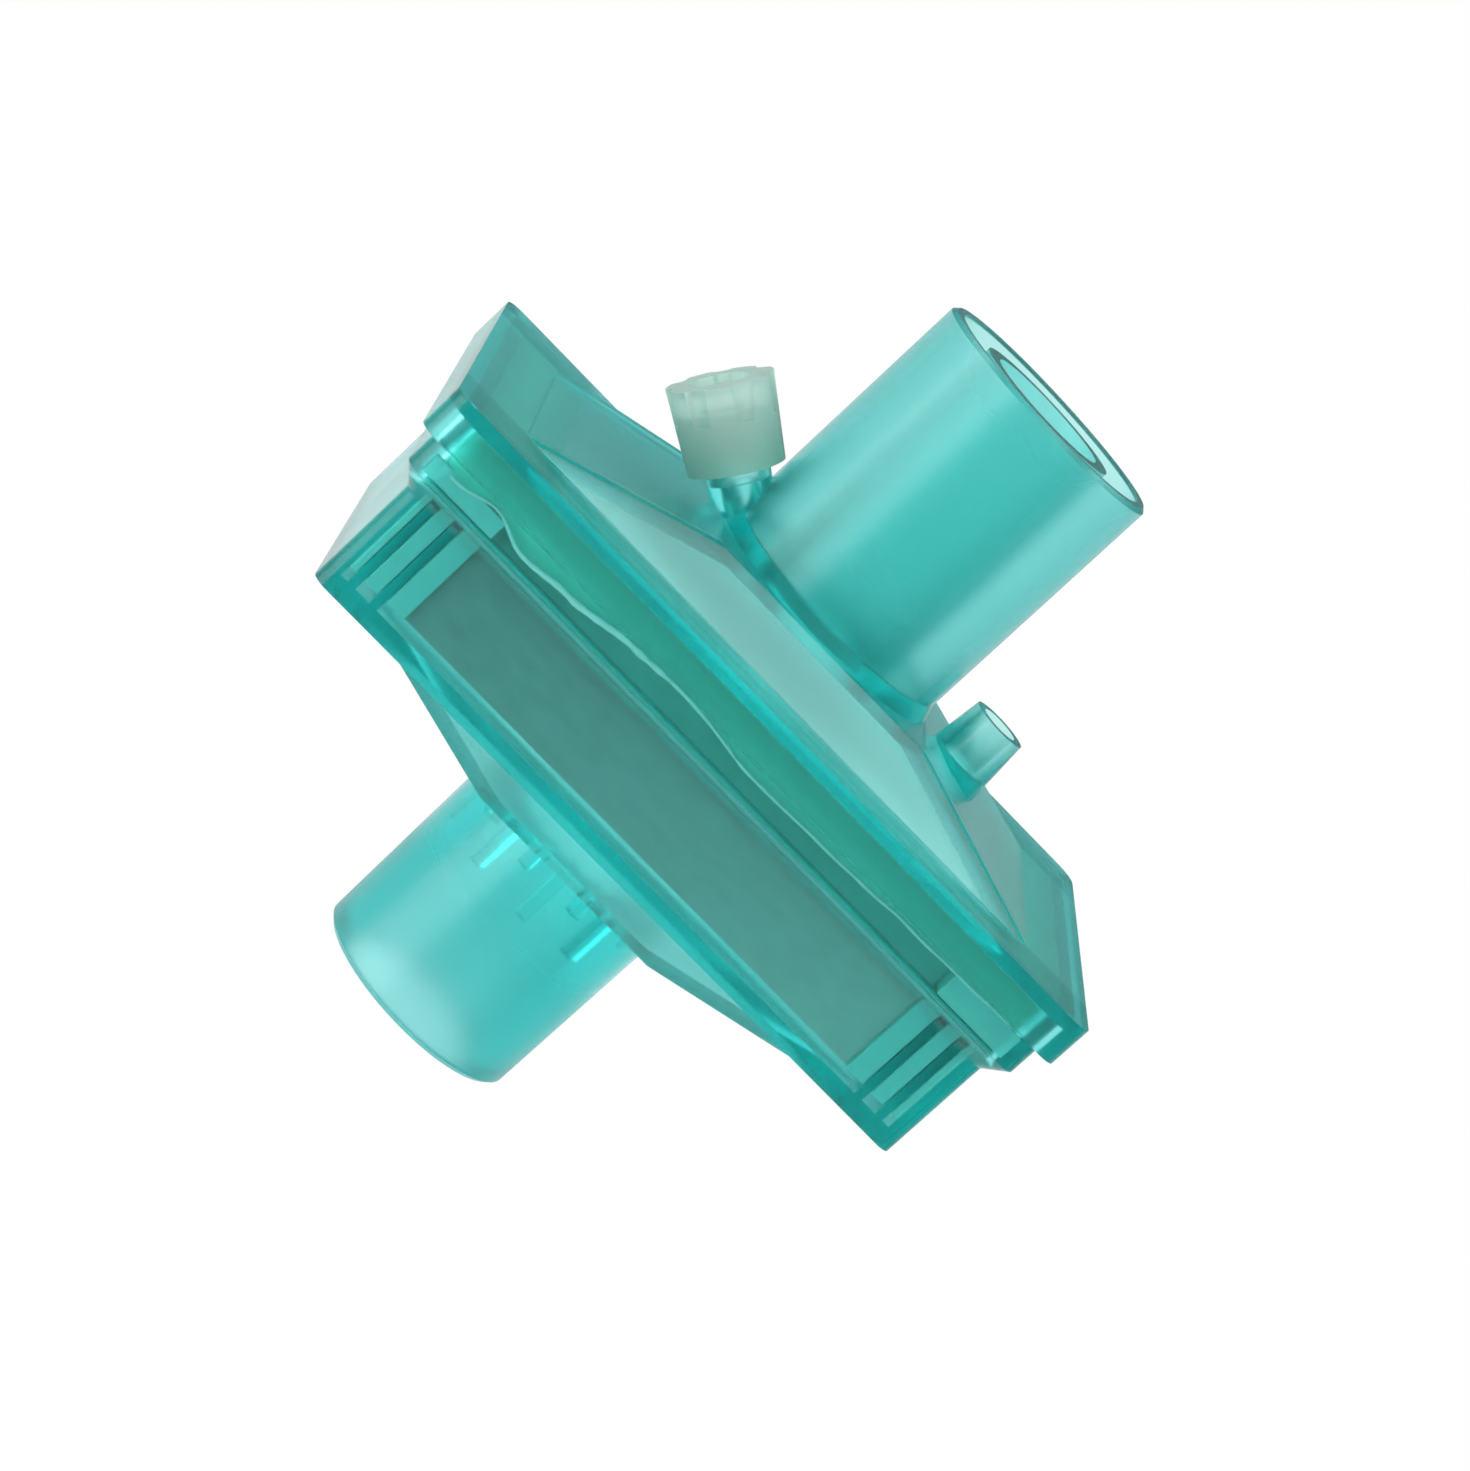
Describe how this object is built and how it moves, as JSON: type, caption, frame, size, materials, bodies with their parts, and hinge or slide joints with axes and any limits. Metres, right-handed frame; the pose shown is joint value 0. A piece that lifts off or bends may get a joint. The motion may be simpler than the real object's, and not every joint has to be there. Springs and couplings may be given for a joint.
{
  "type": "breathing circuit filter",
  "caption": "Clear teal two-part filter housing with coaxial conical ports, a pleated media pack potted in adhesive, a capped sampling port and a hollow parking post.",
  "frame": {"origin": "centre of the bounding box's bottom face, which is the centre of the lower port's open end", "axes": "+Z along the flow axis from the lower port to the upper port, +X along the housing away from the sampling port, -Y towards the camera of the picture"},
  "size_m": [0.0774, 0.0488, 0.0795],
  "materials": {
    "housing": "clear teal moulded plastic, glossy",
    "media": "pleated glass-fibre paper, matt pale grey",
    "adhesive": "cast yellowish adhesive, glossy",
    "cap": "milky translucent moulded plastic, satin"
  },
  "bodies": {
    "housing": {"upper_cover": "housing", "lower_tray": "housing", "pleated_media": "media", "adhesive_seal": "adhesive"},
    "cap": {"luer_cap": "cap"}
  },
  "joints": [
    {"name": "cap_lift", "type": "slide", "parent": "housing", "child": "cap", "axis": [-0.8387, 0, 0.5446], "range_m": [0, 0.015]}
  ]
}
